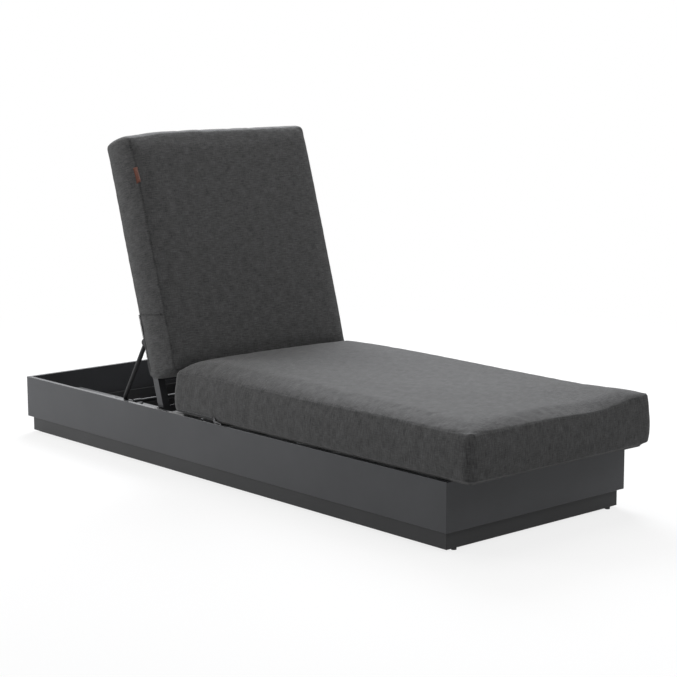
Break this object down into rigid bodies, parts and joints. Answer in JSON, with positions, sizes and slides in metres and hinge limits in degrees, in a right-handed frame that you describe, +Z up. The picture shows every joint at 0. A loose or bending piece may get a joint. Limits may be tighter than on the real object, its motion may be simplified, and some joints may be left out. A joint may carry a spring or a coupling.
{
  "type": "adjustable spa lounger",
  "caption": "Low box-base relaxation lounger with a hinged back frame, a folding rod stay and two loose fabric cushions.",
  "frame": {"origin": "on the floor under the middle of the whole object's box", "axes": "+Y towards the head end, +X to the right seen from the foot end, +Z up"},
  "size_m": [0.712, 2.089, 1.0195],
  "materials": {
    "charcoal_coat": "matte charcoal powder coat",
    "satin_rod": "satin charcoal powder coat",
    "bright_steel": "zinc plated",
    "black_plastic": "matte",
    "black_rubber": "matte",
    "charcoal_fabric": "woven heather outdoor fabric over foam",
    "rust_tape": "woven tape"
  },
  "bodies": {
    "base": {"side_panel_left": "charcoal_coat", "side_panel_right": "charcoal_coat", "foot_panel": "charcoal_coat", "head_panel": "charcoal_coat", "plinth_left": "charcoal_coat", "plinth_right": "charcoal_coat", "plinth_foot": "charcoal_coat", "plinth_head": "charcoal_coat", "glide_1": "black_plastic", "glide_2": "black_plastic", "glide_3": "black_plastic", "glide_4": "black_plastic", "corner_bracket_1": "bright_steel", "corner_bracket_2": "bright_steel", "corner_bracket_3": "bright_steel", "corner_bracket_4": "bright_steel", "ledge_left": "charcoal_coat", "ledge_right": "charcoal_coat", "seat_slat_1": "charcoal_coat", "seat_slat_2": "charcoal_coat", "seat_slat_3": "charcoal_coat", "seat_slat_4": "charcoal_coat", "seat_slat_5": "charcoal_coat", "seat_slat_6": "charcoal_coat", "seat_slat_7": "charcoal_coat", "seat_slat_8": "charcoal_coat", "bearer_1": "charcoal_coat", "bearer_2": "charcoal_coat", "hinge_bearer": "charcoal_coat", "shelf_left": "charcoal_coat", "shelf_right": "charcoal_coat", "rack_left": "black_plastic", "rack_right": "black_plastic", "buffer_left": "black_rubber", "buffer_right": "black_rubber", "hinge_plate_left": "charcoal_coat", "hinge_plate_right": "charcoal_coat", "hinge_screws": "bright_steel", "hinge_bolt_left": "bright_steel", "hinge_bolt_right": "bright_steel", "hinge_bush_left": "black_plastic", "hinge_bush_right": "black_plastic"},
    "back_frame": {"back_tube_left": "charcoal_coat", "back_tube_right": "charcoal_coat", "back_rail_bottom": "charcoal_coat", "back_rail_top": "charcoal_coat", "back_slat_1": "charcoal_coat", "back_slat_2": "charcoal_coat", "back_slat_3": "charcoal_coat", "back_slat_4": "charcoal_coat", "back_cap_left": "black_plastic", "back_cap_right": "black_plastic", "stay_pin_left": "satin_rod", "stay_pin_right": "satin_rod"},
    "stay": {"stay_leg_left": "satin_rod", "stay_leg_right": "satin_rod", "stay_bar": "satin_rod"},
    "seat_pad": {"seat_cushion": "charcoal_fabric"},
    "back_pad": {"back_cushion": "charcoal_fabric", "label_tab": "rust_tape"}
  },
  "joints": [
    {"name": "back_swing", "type": "hinge", "parent": "base", "child": "back_frame", "pos_m": [0, 0.3195, 0.177], "axis": [1, 0, 0], "range_deg": [-73.3, 0]},
    {"name": "stay_swing", "type": "hinge", "parent": "back_frame", "child": "stay", "pos_m": [0, 0.3832, 0.38236], "axis": [1, 0, 0], "range_deg": [0, 125.6]},
    {"name": "back_slide", "type": "slide", "parent": "back_frame", "child": "back_pad", "axis": [0, 0.2874, 0.9578], "range_m": [-0.11, 0]},
    {"name": "seat_slide", "type": "slide", "parent": "base", "child": "seat_pad", "axis": [0, 1, 0], "range_m": [0, 0.088]}
  ],
  "couplings": [
    {"joint": "stay_swing", "follows": "back_swing", "ratio": -1.7135},
    {"joint": "back_slide", "follows": "back_swing", "m_per_rad": 0.085981},
    {"joint": "seat_slide", "follows": "back_swing", "m_per_rad": -0.068784}
  ]
}
